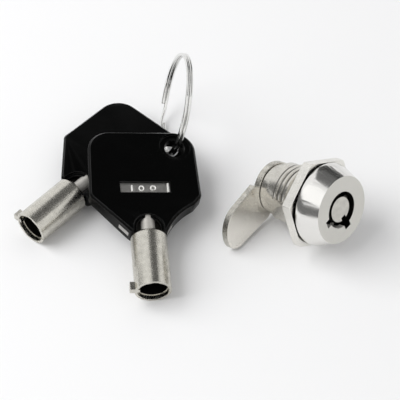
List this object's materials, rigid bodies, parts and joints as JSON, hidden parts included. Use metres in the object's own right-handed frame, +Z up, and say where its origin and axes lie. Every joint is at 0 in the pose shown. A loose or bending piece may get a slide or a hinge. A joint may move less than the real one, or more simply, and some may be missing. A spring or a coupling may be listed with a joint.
{
  "type": "cylinder lock",
  "caption": "small cam lock for a panel hole, with a round key opening, straight cam and fixing nut, and two tubular keys with black heads on a split ring",
  "frame": {"origin": "middle of the whole set's box, on the table it lies on", "axes": "+Z up from the table, +Y away from the viewer of the picture, +X to the viewer's right; lock on the +X side, keys and ring on the -X side"},
  "size_m": [0.0914, 0.0712, 0.0274],
  "materials": {
    "housing": "polished, satin front face",
    "hex_nut": "satin plated",
    "spindle": "satin",
    "pin_sleeve": "machined",
    "driver_pins": "machined",
    "key_pins": "machined",
    "pin_springs": "bright wire",
    "cross_pins": "ground",
    "cam": "satin plated",
    "cam_fixings": "bright plated",
    "key_barrel": "satin nickel",
    "key_stem": "satin",
    "key_head": "black, glossy",
    "key_tag": "satin",
    "ring_wire": "bright"
  },
  "bodies": {
    "lock": {"housing": "housing", "pin_sleeve": "pin_sleeve", "driver_pins": "driver_pins", "pin_springs": "pin_springs", "sleeve_pin": "cross_pins", "stop_pin": "cross_pins"},
    "spindle": {"spindle": "spindle", "cam": "cam", "lock_washer": "cam_fixings", "cam_nut": "cam_fixings"},
    "hex_nut": {"hex_nut": "hex_nut"},
    "key_pin_1": {"key_pin_1": "key_pins"},
    "key_pin_2": {"key_pin_2": "key_pins"},
    "key_pin_3": {"key_pin_3": "key_pins"},
    "key_pin_4": {"key_pin_4": "key_pins"},
    "key_pin_5": {"key_pin_5": "key_pins"},
    "key_pin_6": {"key_pin_6": "key_pins"},
    "key_pin_7": {"key_pin_7": "key_pins"},
    "key_ring": {"key_ring": "ring_wire"},
    "front_key": {"front_key_barrel": "key_barrel", "front_key_stem": "key_stem", "front_key_head": "key_head", "front_key_tag": "key_tag"},
    "rear_key": {"rear_key_barrel": "key_barrel", "rear_key_stem": "key_stem", "rear_key_head": "key_head", "rear_key_tag": "key_tag"}
  },
  "joints": [
    {"name": "spindle_turn", "type": "hinge", "parent": "lock", "child": "spindle", "pos_m": [0.03363, -0.01175, 0.01231], "axis": [-0.6999, 0.6236, -0.3482], "range_deg": [0, 90]},
    {"name": "hex_nut_run", "type": "slide", "parent": "lock", "child": "hex_nut", "axis": [-0.6999, 0.6236, -0.3482], "range_m": [-0.0006, 0.0041]},
    {"name": "key_pin_1_slide", "type": "slide", "parent": "spindle", "child": "key_pin_1", "axis": [-0.6999, 0.6236, -0.3482], "range_m": [0, 0.00228], "stiffness_N_per_m": 50, "springref_m": -0.001},
    {"name": "key_pin_2_slide", "type": "slide", "parent": "spindle", "child": "key_pin_2", "axis": [-0.6999, 0.6236, -0.3482], "range_m": [0, 0.00216], "stiffness_N_per_m": 50, "springref_m": -0.001},
    {"name": "key_pin_3_slide", "type": "slide", "parent": "spindle", "child": "key_pin_3", "axis": [-0.6999, 0.6236, -0.3482], "range_m": [0, 0.00228], "stiffness_N_per_m": 50, "springref_m": -0.001},
    {"name": "key_pin_4_slide", "type": "slide", "parent": "spindle", "child": "key_pin_4", "axis": [-0.6999, 0.6236, -0.3482], "range_m": [0, 0.00216], "stiffness_N_per_m": 50, "springref_m": -0.001},
    {"name": "key_pin_5_slide", "type": "slide", "parent": "spindle", "child": "key_pin_5", "axis": [-0.6999, 0.6236, -0.3482], "range_m": [0, 0.00216], "stiffness_N_per_m": 50, "springref_m": -0.001},
    {"name": "key_pin_6_slide", "type": "slide", "parent": "spindle", "child": "key_pin_6", "axis": [-0.6999, 0.6236, -0.3482], "range_m": [0, 0.00228], "stiffness_N_per_m": 50, "springref_m": -0.001},
    {"name": "key_pin_7_slide", "type": "slide", "parent": "spindle", "child": "key_pin_7", "axis": [-0.6999, 0.6236, -0.3482], "range_m": [0, 0.00216], "stiffness_N_per_m": 50, "springref_m": -0.001},
    {"name": "key_ring_lift", "type": "slide", "parent": "lock", "child": "key_ring", "axis": [0, 0, 1], "range_m": [0, 0.06]},
    {"name": "front_key_swing", "type": "hinge", "parent": "key_ring", "child": "front_key", "pos_m": [-0.00393, 0.00933, 0.00874], "axis": [-0.1461, 0.106, -0.9836], "range_deg": [0, 20]},
    {"name": "rear_key_swing", "type": "hinge", "parent": "key_ring", "child": "rear_key", "pos_m": [-0.00556, 0.01247, 0.0045], "axis": [-0.0182, 0.0137, -0.9997], "range_deg": [0, 20]}
  ]
}
